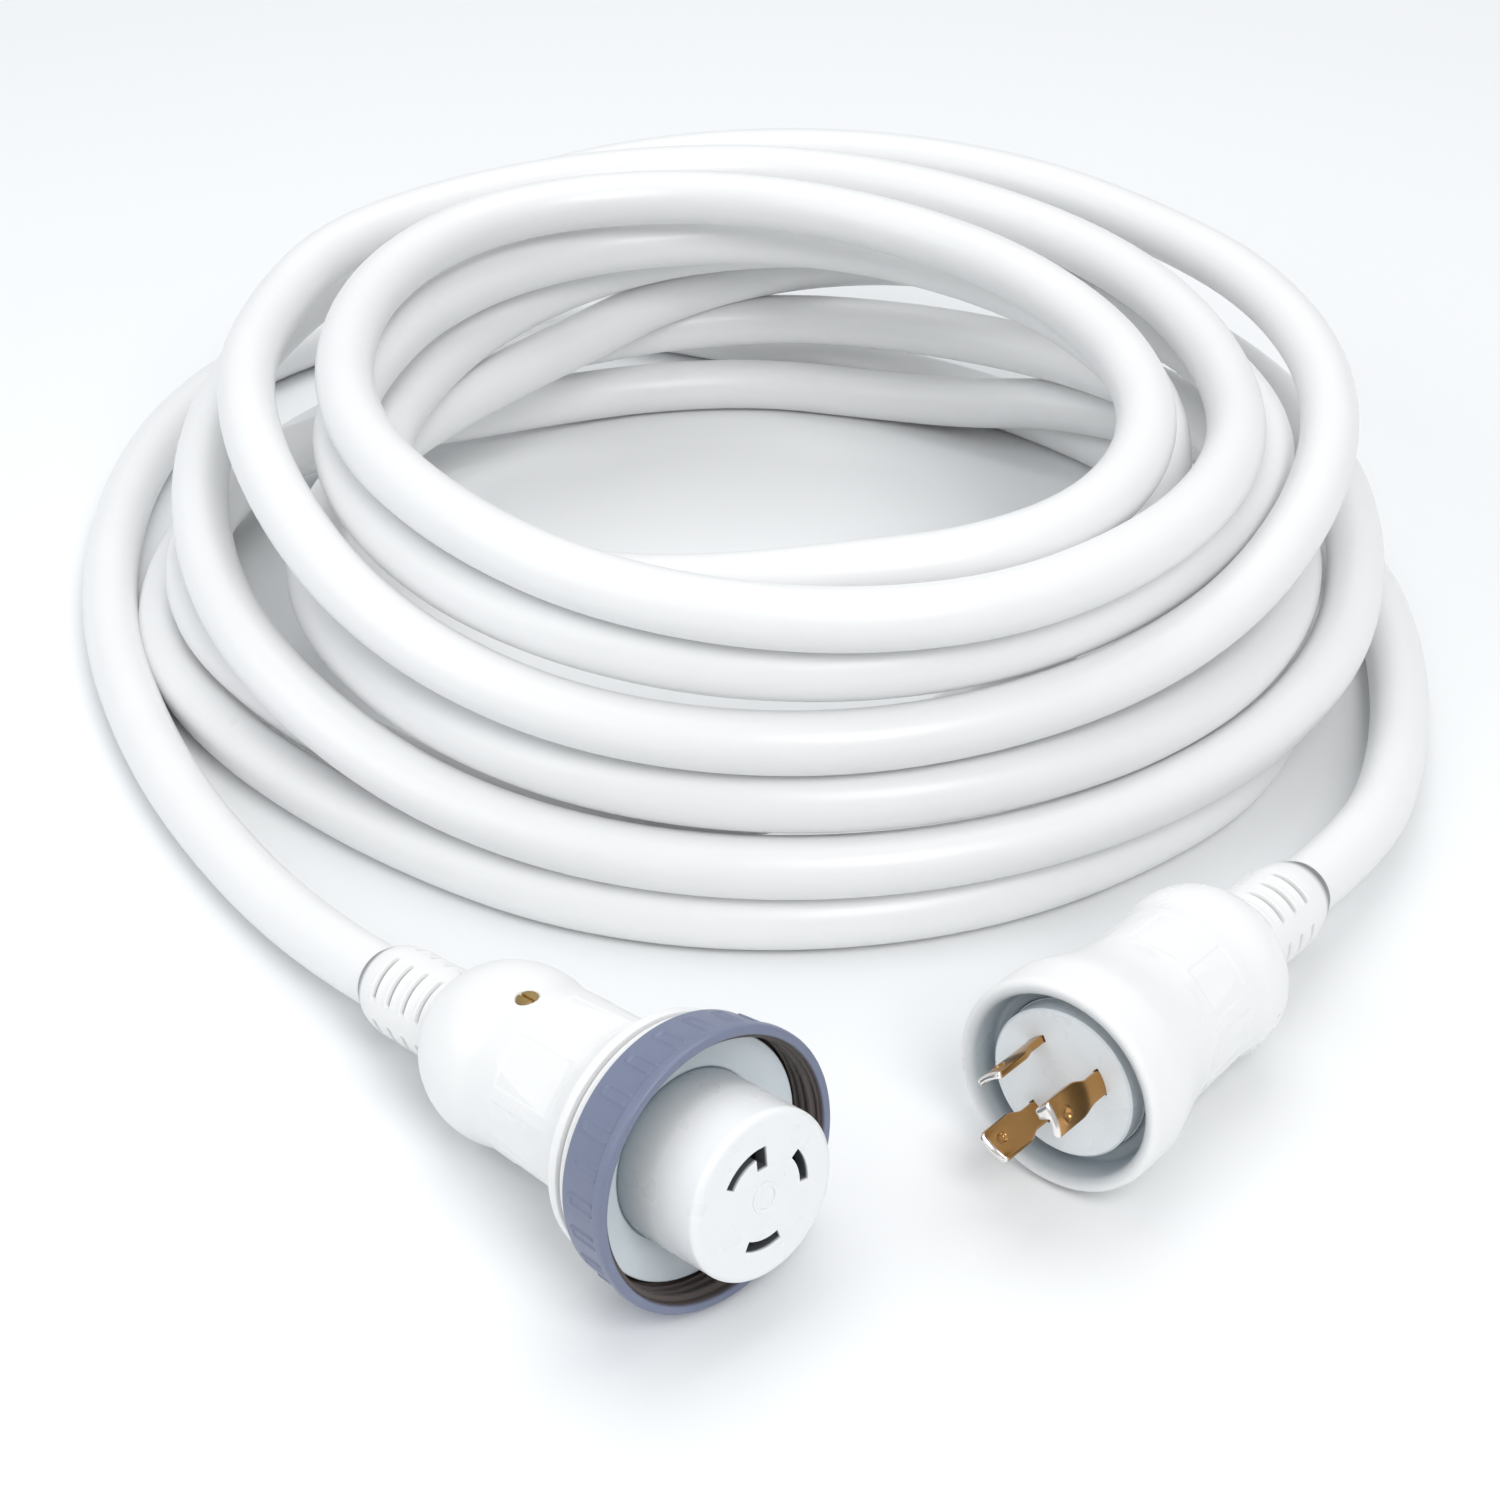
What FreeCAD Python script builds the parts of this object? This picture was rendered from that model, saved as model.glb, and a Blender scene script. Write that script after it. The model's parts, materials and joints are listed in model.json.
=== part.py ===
import FreeCAD, Part
import math
import os

# Shore power cord: a locking connector and a plug on one cable, lying on the floor with the cable coiled
# behind them. Millimetres, +Z up, floor at z = 0. The origin is under the middle of the two connectors.
# Each end is drawn along its own axis: s runs along +X out of the mating face, s = 0 is the front rim.

V = FreeCAD.Vector

# Cable
cable_radius = 8.75
wire_radius = 2.3
wire_circle = 4.7
jacket_clearance = 0.1
clamp_clearance = 0.05
seat_gap = 0.2

# Middle of each front rim on the plan, the way it points (degrees from +X, anticlockwise) and how far the
# mating face is tipped up. The height follows from lying on the floor.
connector_front = (-34.0, -54.2)
connector_heading = -46.9
connector_tilt = 9.1
plug_front = (47.2, -18.1)
plug_heading = -129.2
plug_tilt = 5.2

# Locking ring
ring_length = 16.0
ring_lip_radius = 36.1
ring_lip_length = 3.0
ring_rear_radius = 34.2
ring_front_radius = 35.2
thread_radius = 32.0
thread_depth = 1.3
thread_pitch = 2.6
thread_turns = 4
ring_web = 3.0
ring_side_gap = 0.6
ring_bore_clearance = 0.06
grip_count = 24
grip_width_angle = 7.0
grip_height = 0.5

# Connector front
disc_depth = 9.6
disc_radius = 31.4
disc_thickness = 3.2
gasket_thickness = 1.4
gasket_inner_radius = 25.6
dish_depth = 0.8
neck_radius = 25.0
plate_radius = 31.8
plate_thickness = 3.2
spigot_radius = 20.2
spigot_bore = 17.5
spigot_end = -33.0
nose_radius = 21.5
nose_spigot_radius = 20.7
nose_front = 15.4
nose_bore = 18.6
nose_seat = -14.5
nose_edge = 1.8
face_thickness = 4.0

# Contacts, slots and blades share one circle
contact_circle = 12.2
blade_thickness = 1.8
slot_clearance = 0.4
hook_depth = 3.2
hook_width = 2.4
slot_angles = (115.0, 11.0, -101.0)
slot_spans = (54.0, 42.0, 48.0)
blade_angles = (30.0, 134.0, -114.0)
blade_spans = (44.0, 38.0, 44.0)
blade_reach = 18.5
blade_hole_radius = 1.3
blade_hole_back = 5.0
leaf_thickness = 0.8
leaf_length = 18.0
contact_front = 9.0
tang_width = 6.0
terminal_length = 11.0
terminal_width = 9.0
terminal_height = 6.0
terminal_screw_radius = 1.6
terminal_head_radius = 2.6
terminal_head_height = 1.6

# Housings
shell_bore = 20.4
dome_radius = 23.6
waist_radius = 22.4
body_radius = 24.1
flat_apothem = 22.4
flange_radius = 31.8
flange_groove_radius = 29.4
flange_groove = 1.1
boot_hole = 11.0
rear_wall = 6.9
screw_radius = 1.6
screw_head_radius = 2.7
screw_head_height = 1.1
screw_seat_radius = 21.2
screw_slot_width = 0.8
screw_clearance = 0.05
leg_inner_radius = 17.7
leg_span = 40.0

# Connector stations along its axis
connector_boot_end = -131.0
connector_shell_rear = -98.0
connector_clamp_rear = -84.0
connector_carrier_rear = -38.0
connector_leg_end = -70.0
connector_screw_station = -65.0
connector_screw_angle = 93.0

# Plug stations along its axis
plug_boot_end = -119.0
plug_shell_rear = -82.0
plug_clamp_rear = -67.5
plug_leg_end = -56.5
plug_screw_station = -52.0
plug_screw_angle = 151.0
plug_face_recess = 2.5
plug_face_radius = 20.0
plug_core_rear = -26.0
plug_groove_radius = 23.6
plug_groove_depth = 8.5
plug_rim_radius = 28.8
plug_rim_rounding = 1.4
plug_dome_radius = 24.0
plug_waist_radius = 22.8
plug_body_radius = 23.5

# Boots
boot_radius = 12.5
boot_tip_radius = 9.5
boot_spigot_radius = 10.9
boot_flange_radius = 13.5
boot_flange_length = 3.0
slot_rows = 4
slot_pitch = 6.2
slot_width = 1.4
slot_depth = 1.9
slot_sectors = 4
slot_sector_span = 62.0
first_slot_gap = 3.5
connector_slot_turn = 38.0
plug_slot_turn = 70.0
connector_collar = 7.0
plug_collar = 8.0

# Cord clamps
clamp_length = 8.0
clamp_half_width = 16.0
clamp_half_height = 9.0
clamp_split = 0.6
clamp_screw_radius = 1.5
clamp_screw_spread = 12.4

# Coil: outer shape of the pile of turns, as (radius, height) round a vertical axis
coil_centre = (-27.0, 243.0)
coil_outline = [
    (138, 0), (190, 0), (193, 20), (193, 88), (172, 100), (140, 109), (98, 109), (92, 92), (122, 45),
]

# Routes of the two uncoiled runs into the coil: straight out of the boot first, then these points
exit_run = 38.0
connector_route = [
    (-184, 118, 8.9), (-208, 164, 8.9), (-226, 212, 8.9), (-236, 262, 8.9), (-238, 314, 8.9),
    (-230, 362, 8.9), (-207, 408, 8.9), (-162, 440, 8.9), (-105, 445, 8.9), (-50, 430, 8.9), (-7, 402, 8.9),
]
plug_route = [
    (161.5, 142, 12), (171, 184, 8.9), (175, 228, 8.9), (166, 272, 13), (142, 310, 24), (106, 337, 30),
]
arc_share = 0.45


def face_of(edges):
    return Part.Face(Part.Wire(edges))


def outline_edges(start, moves, to_vector):
    """Edges through start and moves: two numbers are a straight line, four an arc through the first two."""
    edges = []
    here = start
    for move in list(moves) + [start]:
        end = move[-2:]
        if len(move) == 4:
            arc = Part.Arc(to_vector(here), to_vector(move[:2]), to_vector(end))
            edges.append(arc.toShape())
        else:
            edges.append(Part.LineSegment(to_vector(here), to_vector(end)).toShape())
        here = end
    return edges


def turned(start, *moves):
    """A solid of revolution about the X axis from an outline in (s, radius)."""
    edges = outline_edges(start, moves, lambda p: V(p[0], 0, p[1]))
    return face_of(edges).revolve(V(0, 0, 0), V(1, 0, 0), 360)


def sleeve(s0, s1, outer, inner=0.0):
    solid = Part.makeCylinder(outer, s1 - s0, V(s0, 0, 0), V(1, 0, 0))
    if inner:
        solid = solid.cut(Part.makeCylinder(inner, s1 - s0, V(s0, 0, 0), V(1, 0, 0)))
    return solid


def polar(s, radius, angle):
    a = math.radians(angle)
    return V(s, radius * math.cos(a), radius * math.sin(a))


def sector(s0, s1, inner, outer, angle, span):
    """A block between two radii and two angles about the X axis, from s0 to s1."""
    low, high = angle - span / 2, angle + span / 2
    edges = [
        Part.Arc(polar(s0, outer, low), polar(s0, outer, angle), polar(s0, outer, high)).toShape(),
        Part.LineSegment(polar(s0, outer, high), polar(s0, inner, high)).toShape(),
        Part.Arc(polar(s0, inner, high), polar(s0, inner, angle), polar(s0, inner, low)).toShape(),
        Part.LineSegment(polar(s0, inner, low), polar(s0, outer, low)).toShape(),
    ]
    return face_of(edges).extrude(V(s1 - s0, 0, 0))


def block(s0, s1, inner, height, width, angle):
    """A straight block standing on the radius inner, turned to the angle about the X axis."""
    solid = Part.makeBox(s1 - s0, height, width, V(s0, inner, -width / 2))
    solid.rotate(V(0, 0, 0), V(1, 0, 0), angle)
    return solid


def radial_pin(s, r0, r1, radius, angle):
    return Part.makeCylinder(radius, r1 - r0, polar(s, r0, angle), polar(0, 1, angle))


def rounded_route(points):
    """A wire of straight runs joined by tangent arcs, its length and its smallest arc radius."""
    pts = [V(*p) for p in points]
    edges = []
    start = pts[0]
    smallest = None
    for before, corner, after in zip(pts, pts[1:], pts[2:]):
        back = (before - corner).normalize()
        ahead = (after - corner).normalize()
        half_turn = (math.pi - back.getAngle(ahead)) / 2
        reach = arc_share * min(before.distanceToPoint(corner), corner.distanceToPoint(after))
        radius = reach / math.tan(half_turn)
        smallest = radius if smallest is None else min(smallest, radius)
        middle = (back + ahead).normalize()
        depth = radius / math.cos(half_turn) - radius
        first, last = corner + back * reach, corner + ahead * reach
        edges.append(Part.LineSegment(start, first).toShape())
        edges.append(Part.Arc(first, corner + middle * depth, last).toShape())
        start = last
    edges.append(Part.LineSegment(start, pts[-1]).toShape())
    return Part.Wire(edges), smallest


def cable_tube(name, points, radius):
    path, smallest = rounded_route(points)
    ahead = V(*points[1]) - V(*points[0])
    ring = Part.Wire(Part.makeCircle(radius, V(*points[0]), ahead))
    tube = path.makePipeShell([ring], True, False)
    expected = math.pi * radius**2 * path.Length
    print(name, "length", round(path.Length, 1), "smallest arc", round(smallest, 1),
          "volume ratio", round(tube.Volume / expected, 4))
    return tube


def resting_place(outer_shapes, front, heading, tilt):
    """Where an end lies: turned to its heading, tipped up, and lifted until its lowest point is on the floor."""
    turn = FreeCAD.Rotation(V(0, 0, 1), heading) * FreeCAD.Rotation(V(0, 1, 0), -tilt)
    lowest = 0.0
    for shape in outer_shapes:
        trial = shape.copy()
        trial.Placement = FreeCAD.Placement(V(0, 0, 0), turn)
        lowest = min(lowest, trial.optimalBoundingBox(False, False).ZMin)
    return FreeCAD.Placement(V(front[0], front[1], -lowest), turn)


def tail_points(place, boot_end, route):
    """The boot's mouth, a straight run out of it, then the rest of the route."""
    mouth = place.multVec(V(boot_end, 0, 0))
    straight = place.multVec(V(boot_end - exit_run, 0, 0))
    return [tuple(mouth), tuple(straight)] + route


def boot(end, shell_rear, collar, slot_turn):
    """Slotted strain relief: tapered collar, slotted barrel, spigot through the shell, inner flange."""
    bore = cable_radius + jacket_clearance
    inner_face = shell_rear + rear_wall
    solid = turned(
        (end, bore), (end, boot_tip_radius), (end + collar, boot_radius), (shell_rear, boot_radius),
        (shell_rear, boot_spigot_radius), (inner_face, boot_spigot_radius),
        (inner_face, boot_flange_radius), (inner_face + boot_flange_length, boot_flange_radius),
        (inner_face + boot_flange_length, bore),
    )
    for row in range(slot_rows):
        middle = shell_rear - first_slot_gap - row * slot_pitch
        for k in range(slot_sectors):
            angle = slot_turn + k * 360.0 / slot_sectors
            cut = sector(middle - slot_width / 2, middle + slot_width / 2, boot_radius - slot_depth,
                         boot_radius + 1, angle, slot_sector_span)
            solid = solid.cut(cut)
    return solid


def body_flats(solid, s0, s1):
    """Eight shallow flats between two stations."""
    corner = flat_apothem / math.cos(math.pi / 8)
    corners = [polar(s0, corner, 22.5 + 45 * k) for k in range(9)]
    prism = Part.Face(Part.makePolygon(corners)).extrude(V(s1 - s0, 0, 0))
    waste = sleeve(s0, s1, dome_radius + 6).cut(prism)
    return solid.cut(waste)


def screw_holes(solid, station, angle):
    for turn in (angle, angle + 180):
        solid = solid.cut(radial_pin(station, screw_seat_radius, dome_radius + 3,
                                     screw_head_radius + screw_clearance, turn))
        solid = solid.cut(radial_pin(station, shell_bore - 1, body_radius, screw_radius + screw_clearance, turn))
    return solid


def slotted_screw(station, angle):
    seat = screw_seat_radius
    head = radial_pin(station, seat, seat + screw_head_height, screw_head_radius, angle)
    shank = radial_pin(station, leg_inner_radius + 0.3, seat, screw_radius, angle)
    slot = block(station - screw_head_radius, station + screw_head_radius, seat + screw_head_height / 2,
                 screw_head_height, screw_slot_width, angle)
    return head.fuse(shank).cut(slot).removeSplitter()


def housing_screws(station, angle):
    return Part.makeCompound([slotted_screw(station, angle), slotted_screw(station, angle + 180)])


def legs(start, end, outer, angle, station):
    """Two legs that reach back from an insulator along the shell's wall and take the housing screws."""
    pair = []
    for turn in (angle, angle + 180):
        leg = sector(end, start, leg_inner_radius, outer, turn, leg_span)
        pair.append(leg.cut(radial_pin(station, leg_inner_radius - 1, outer + 1, screw_radius + screw_clearance, turn)))
    return pair


def cord_clamp(rear, side):
    """One half of the saddle that grips the jacket; side is +1 above and -1 below."""
    low = clamp_split / 2 if side > 0 else -clamp_half_height
    half = Part.makeBox(clamp_length, 2 * clamp_half_width, clamp_half_height - clamp_split / 2,
                        V(rear, -clamp_half_width, low))
    half = half.cut(sleeve(rear - 1, rear + clamp_length + 1, cable_radius + clamp_clearance))
    for y in (-clamp_screw_spread, clamp_screw_spread):
        hole = Part.makeCylinder(clamp_screw_radius + screw_clearance, 2 * clamp_half_height + 2,
                                 V(rear + clamp_length / 2, y, -clamp_half_height - 1))
        half = half.cut(hole)
    return half


def clamp_screws(rear):
    screws = []
    for y in (-clamp_screw_spread, clamp_screw_spread):
        foot = V(rear + clamp_length / 2, y, -clamp_half_height)
        screws.append(Part.makeCylinder(clamp_screw_radius, 2 * clamp_half_height, foot))
    return Part.makeCompound(screws)


def wire(start, end, angle):
    """One insulated conductor from the jacket's end to the back of its terminal."""
    run = (end - start) / 4
    stations = (start, start + run, end - run, end)
    radii = (wire_circle, wire_circle, contact_circle, contact_circle)
    points = [tuple(polar(s, r, angle)) for s, r in zip(stations, radii)]
    path, smallest = rounded_route(points)
    ring = Part.Wire(Part.makeCircle(wire_radius, V(*points[0]), V(1, 0, 0)))
    return path.makePipeShell([ring], True, False)


def terminal(rear, angle):
    """Screw terminal block at the back of a contact or blade, with its tapped hole."""
    inner = contact_circle - terminal_height / 2
    solid = block(rear, rear + terminal_length, inner, terminal_height, terminal_width, angle)
    hole = radial_pin(rear + terminal_length / 2, inner - 1, inner + terminal_height + 1,
                      terminal_screw_radius + screw_clearance, angle)
    return solid.cut(hole)


def terminal_screws(rear, angles):
    screws = []
    top = contact_circle + terminal_height / 2
    for angle in angles:
        middle = rear + terminal_length / 2
        head = radial_pin(middle, top, top + terminal_head_height, terminal_head_radius, angle)
        shank = radial_pin(middle, top - terminal_height, top, terminal_screw_radius, angle)
        slot = block(middle - terminal_head_radius, middle + terminal_head_radius,
                     top + terminal_head_height / 2, terminal_head_height, screw_slot_width, angle)
        screws.append(head.fuse(shank).cut(slot).removeSplitter())
    return Part.makeCompound(screws)


def blade_arc(s0, s1, angle, span, grow=0.0):
    return sector(s0, s1, contact_circle - blade_thickness / 2 - grow,
                  contact_circle + blade_thickness / 2 + grow, angle, span)


def hook_block(s0, s1, edge_angle, grow=0.0):
    """The ground blade's inward hook, at the end of its arc."""
    inner = contact_circle - blade_thickness / 2 - hook_depth - grow
    outer = contact_circle + blade_thickness / 2 + grow
    return block(s0, s1, inner, outer - inner - 0.1, hook_width + 2 * grow, edge_angle)


def locking_ring():
    back = -ring_length
    web_front = back + ring_web
    thread_wall = thread_radius + thread_depth
    solid = turned(
        (back, neck_radius + ring_bore_clearance), (back, ring_rear_radius - 0.8), (back + 0.8, ring_rear_radius),
        (-ring_lip_length, ring_front_radius), (-ring_lip_length + 0.8, ring_lip_radius),
        (-1.5, ring_lip_radius), (-0.4, ring_lip_radius - 0.4, 0, ring_lip_radius - 1.4),
        (0, thread_wall + 0.5), (-1.0, thread_wall), (web_front, thread_wall),
        (web_front, neck_radius + ring_bore_clearance),
    )
    for k in range(thread_turns):
        middle = -2.6 - k * thread_pitch
        ridge = turned((middle - 1.0, thread_wall + 0.1), (middle - 0.25, thread_radius),
                       (middle + 0.25, thread_radius), (middle + 1.0, thread_wall + 0.1))
        solid = solid.fuse(ridge)
    slope = (ring_front_radius - ring_rear_radius) / (ring_length - ring_lip_length - 0.8)
    for k in range(grip_count):
        angle = k * 360.0 / grip_count
        s0, s1 = back + 4.0, -ring_lip_length - 4.0
        base = ring_rear_radius + slope * (s0 - back)
        pad = sector(s0, s1, base - 1.0, base + slope * (s1 - s0) / 2 + grip_height, angle, grip_width_angle)
        solid = solid.fuse(pad)
    return solid.removeSplitter()


def connector_flange():
    disc_face = -disc_depth
    seat = disc_face - gasket_thickness
    plate_front = -ring_length - ring_side_gap
    bore = nose_spigot_radius + jacket_clearance
    return turned(
        (spigot_end, spigot_bore), (spigot_end, spigot_radius), (plate_front, spigot_radius),
        (plate_front, neck_radius), (disc_face - disc_thickness, neck_radius),
        (disc_face - disc_thickness, disc_radius), (seat, disc_radius), (seat, gasket_inner_radius),
        (seat - dish_depth, gasket_inner_radius - 1.2), (seat - dish_depth, bore),
        (nose_seat, bore), (nose_seat, spigot_bore),
    )


def sealing_gasket():
    back = -disc_depth - gasket_thickness
    outer = disc_radius - 0.2
    return turned((back, gasket_inner_radius), (back, outer), (-disc_depth - 0.6, outer),
                  (-disc_depth - 0.2, outer - 0.2, -disc_depth, outer - 0.6),
                  (-disc_depth, gasket_inner_radius + 0.6), (-disc_depth - 0.6, gasket_inner_radius))


def retaining_flange():
    front = -ring_length - ring_side_gap
    back = front - plate_thickness
    return turned((back, spigot_radius + seat_gap), (back, plate_radius - 0.4), (back + 0.4, plate_radius),
                  (front - 0.6, plate_radius), (front, plate_radius - 0.6), (front, spigot_radius + seat_gap))


def connector_nose():
    front = nose_front
    shoulder = -disc_depth - gasket_thickness - dish_depth + seat_gap
    solid = turned(
        (nose_seat, nose_bore), (nose_seat, nose_spigot_radius), (shoulder, nose_spigot_radius),
        (shoulder, nose_radius), (front - nose_edge, nose_radius),
        (front - nose_edge * 0.3, nose_radius - nose_edge * 0.3, front, nose_radius - nose_edge),
        (front, 0), (front - face_thickness, 0), (front - face_thickness, nose_bore),
    )
    back = front - face_thickness - 1
    for angle, span in zip(slot_angles, slot_spans):
        solid = solid.cut(blade_arc(back, front + 1, angle, span, slot_clearance))
    hook_angle = slot_angles[0] - slot_spans[0] / 2 - 1
    solid = solid.cut(hook_block(back, front + 1, hook_angle, slot_clearance))
    boss = sleeve(front - 0.2, front + 0.4, 3.8, 2.9)
    return solid.fuse(boss).removeSplitter()


def contact_carrier():
    front = nose_front - face_thickness - seat_gap
    disc_front = spigot_end - seat_gap
    solid = sleeve(connector_carrier_rear, front, spigot_bore - seat_gap)
    solid = solid.fuse(sleeve(connector_carrier_rear, disc_front, shell_bore - seat_gap))
    for leg in legs(disc_front, connector_leg_end, shell_bore - seat_gap, connector_screw_angle,
                    connector_screw_station):
        solid = solid.fuse(leg)
    pocket_back = contact_front - leaf_length - 2.4
    for angle, span in zip(slot_angles, slot_spans):
        pocket = sector(pocket_back, front + 1, contact_circle - 2.6, contact_circle + 2.6, angle, span + 6)
        channel = block(connector_carrier_rear - 1, pocket_back + 1, contact_circle - 1.1, 2.2,
                        tang_width + 0.4, angle)
        solid = solid.cut(pocket).cut(channel)
    hook_angle = slot_angles[0] - slot_spans[0] / 2 - 1
    solid = solid.cut(hook_block(pocket_back, front + 1, hook_angle, slot_clearance + 0.4))
    return solid.removeSplitter()


def contact(angle, span):
    gap = blade_thickness / 2 + 0.1
    front = contact_front
    back = front - leaf_length
    inner = sector(back, front, contact_circle - gap - leaf_thickness, contact_circle - gap, angle, span)
    outer = sector(back, front, contact_circle + gap, contact_circle + gap + leaf_thickness, angle, span)
    web = sector(back - 1.6, back, contact_circle - gap - leaf_thickness, contact_circle + gap + leaf_thickness,
                 angle, span)
    block_rear = connector_carrier_rear - seat_gap - terminal_length
    tang = block(block_rear + terminal_length / 4 * 3, back - 0.8, contact_circle - 0.8, 1.6, tang_width, angle)
    return inner.fuse([outer, web, tang, terminal(block_rear, angle)]).removeSplitter()


def connector_housing():
    rear = connector_shell_rear
    flange_front = -ring_length - ring_side_gap - plate_thickness
    flange_back = flange_front - 4.4
    solid = turned(
        (rear, boot_hole), (rear, 12.8), (rear + 8.6, 20.2, rear + 19.0, dome_radius),
        (rear + 27.0, dome_radius - 0.3, rear + 32.0, waist_radius), (-32.0, body_radius),
        (-26.6, 26.3, flange_back, flange_radius - 1.0), (flange_back + 1.0, flange_radius),
        (flange_front - flange_groove, flange_radius),
        (flange_front - flange_groove, flange_groove_radius), (flange_front, flange_groove_radius),
        (flange_front, shell_bore), (rear + 22.5, shell_bore),
        (rear + 13.5, 19.0, rear + rear_wall, 15.0), (rear + rear_wall, boot_hole),
    )
    solid = body_flats(solid, rear + 33.5, -34.0)
    return screw_holes(solid, connector_screw_station, connector_screw_angle)


def plug_housing():
    rear = plug_shell_rear
    solid = turned(
        (rear, boot_hole), (rear, 13.4), (rear + 4.0, 20.2, rear + 13.5, plug_dome_radius),
        (rear + 18.0, plug_dome_radius - 0.2, rear + 23.0, plug_waist_radius), (-34.0, plug_body_radius),
        (-25.5, 24.7, -16.0, plug_rim_radius - 0.8), (-13.0, plug_rim_radius),
        (-plug_rim_rounding, plug_rim_radius),
        (-0.4, plug_rim_radius - 0.4, 0, plug_rim_radius - plug_rim_rounding),
        (0, plug_groove_radius + 1.4), (-1.0, plug_groove_radius), (-plug_groove_depth, plug_groove_radius),
        (-plug_groove_depth, shell_bore), (rear + 26.0, shell_bore),
        (rear + 15.0, 19.0, rear + rear_wall, 15.0), (rear + rear_wall, boot_hole),
    )
    solid = body_flats(solid, rear + 25.0, -35.0)
    return screw_holes(solid, plug_screw_station, plug_screw_angle)


def plug_face():
    front = -plug_face_recess
    solid = turned((plug_core_rear, 0), (plug_core_rear, shell_bore - jacket_clearance),
                   (-plug_groove_depth, shell_bore - jacket_clearance), (-plug_groove_depth, plug_face_radius),
                   (front - 0.6, plug_face_radius), (front, plug_face_radius - 0.6), (front, 0))
    for leg in legs(plug_core_rear, plug_leg_end, shell_bore - jacket_clearance, plug_screw_angle,
                    plug_screw_station):
        solid = solid.fuse(leg)
    for angle, span in zip(blade_angles, blade_spans):
        solid = solid.cut(blade_arc(plug_core_rear - 1, front + 1, angle, span - 12, 0.05))
    return solid.removeSplitter()


def blade(angle, span, hooked=False):
    """Curved locking blade: wide tip, waisted where it leaves the face, narrow shank to its terminal."""
    front = -plug_face_recess
    rear = plug_core_rear - seat_gap
    shank = blade_arc(rear - terminal_length / 4, front, angle, span - 12.4)
    solid = blade_arc(front + 0.1, blade_reach, angle, span)
    half_width = math.radians(span / 2) * contact_circle
    for side in (-1, 1):
        notch = Part.makeCylinder(5.0, 2 * contact_circle, V(front + 2.2, 0, 0), V(0, 1, 0))
        notch.translate(V(0, 0, side * (half_width + 2.6)))
        notch.rotate(V(0, 0, 0), V(1, 0, 0), angle)
        solid = solid.cut(notch)
    stem = blade_arc(front - 0.5, front + 1.0, angle, span - 12.4)
    solid = solid.fuse([stem, shank])
    if hooked:
        solid = solid.fuse(hook_block(6.0, blade_reach, angle + span / 2 - 5))
    hole = radial_pin(blade_reach - blade_hole_back, contact_circle - 3, contact_circle + 3,
                      blade_hole_radius, angle - 3)
    solid = solid.cut(hole).fuse(terminal(rear - terminal_length, angle))
    return solid.removeSplitter()


def coil():
    centre = V(coil_centre[0], coil_centre[1], 0)
    corners = [centre + V(r, 0, z) for r, z in coil_outline]
    face = Part.Face(Part.makePolygon(corners + corners[:1]))
    return face.revolve(centre, V(0, 0, 1), 360)


def end_fittings(prefix, clamp_rear, terminal_rear, boot_end, angles):
    """Cable end, clamp, wires and their screws, the same in both ends."""
    jacket_end = clamp_rear + clamp_length + 2.0
    pieces = {
        prefix + "_cable_end": sleeve(boot_end, jacket_end, cable_radius),
        prefix + "_clamp_upper": cord_clamp(clamp_rear, 1),
        prefix + "_clamp_lower": cord_clamp(clamp_rear, -1),
        prefix + "_clamp_screws": clamp_screws(clamp_rear),
        prefix + "_terminal_screws": terminal_screws(terminal_rear, angles),
    }
    for name, angle in zip(("ground", "line", "neutral"), angles):
        pieces[prefix + "_" + name + "_wire"] = wire(jacket_end + seat_gap, terminal_rear - seat_gap, angle)
    return pieces


def connector_pieces():
    terminal_rear = connector_carrier_rear - seat_gap - terminal_length
    pieces = {
        "locking_ring": locking_ring(),
        "connector_nose": connector_nose(),
        "connector_flange": connector_flange(),
        "sealing_gasket": sealing_gasket(),
        "retaining_flange": retaining_flange(),
        "connector_housing": connector_housing(),
        "connector_boot": boot(connector_boot_end, connector_shell_rear, connector_collar,
                               connector_slot_turn),
        "contact_carrier": contact_carrier(),
        "connector_housing_screws": housing_screws(connector_screw_station, connector_screw_angle),
    }
    for name, angle, span in zip(("ground", "line", "neutral"), slot_angles, slot_spans):
        pieces["connector_" + name + "_contact"] = contact(angle, span)
    pieces.update(end_fittings("connector", connector_clamp_rear, terminal_rear, connector_boot_end, slot_angles))
    return pieces


def plug_pieces():
    terminal_rear = plug_core_rear - seat_gap - terminal_length
    pieces = {
        "plug_housing": plug_housing(),
        "plug_boot": boot(plug_boot_end, plug_shell_rear, plug_collar, plug_slot_turn),
        "plug_face": plug_face(),
        "plug_housing_screws": housing_screws(plug_screw_station, plug_screw_angle),
    }
    for name, angle, span in zip(("ground", "line", "neutral"), blade_angles, blade_spans):
        pieces["plug_" + name + "_blade"] = blade(angle, span, name == "ground")
    pieces.update(end_fittings("plug", plug_clamp_rear, terminal_rear, plug_boot_end, blade_angles))
    return pieces


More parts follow.
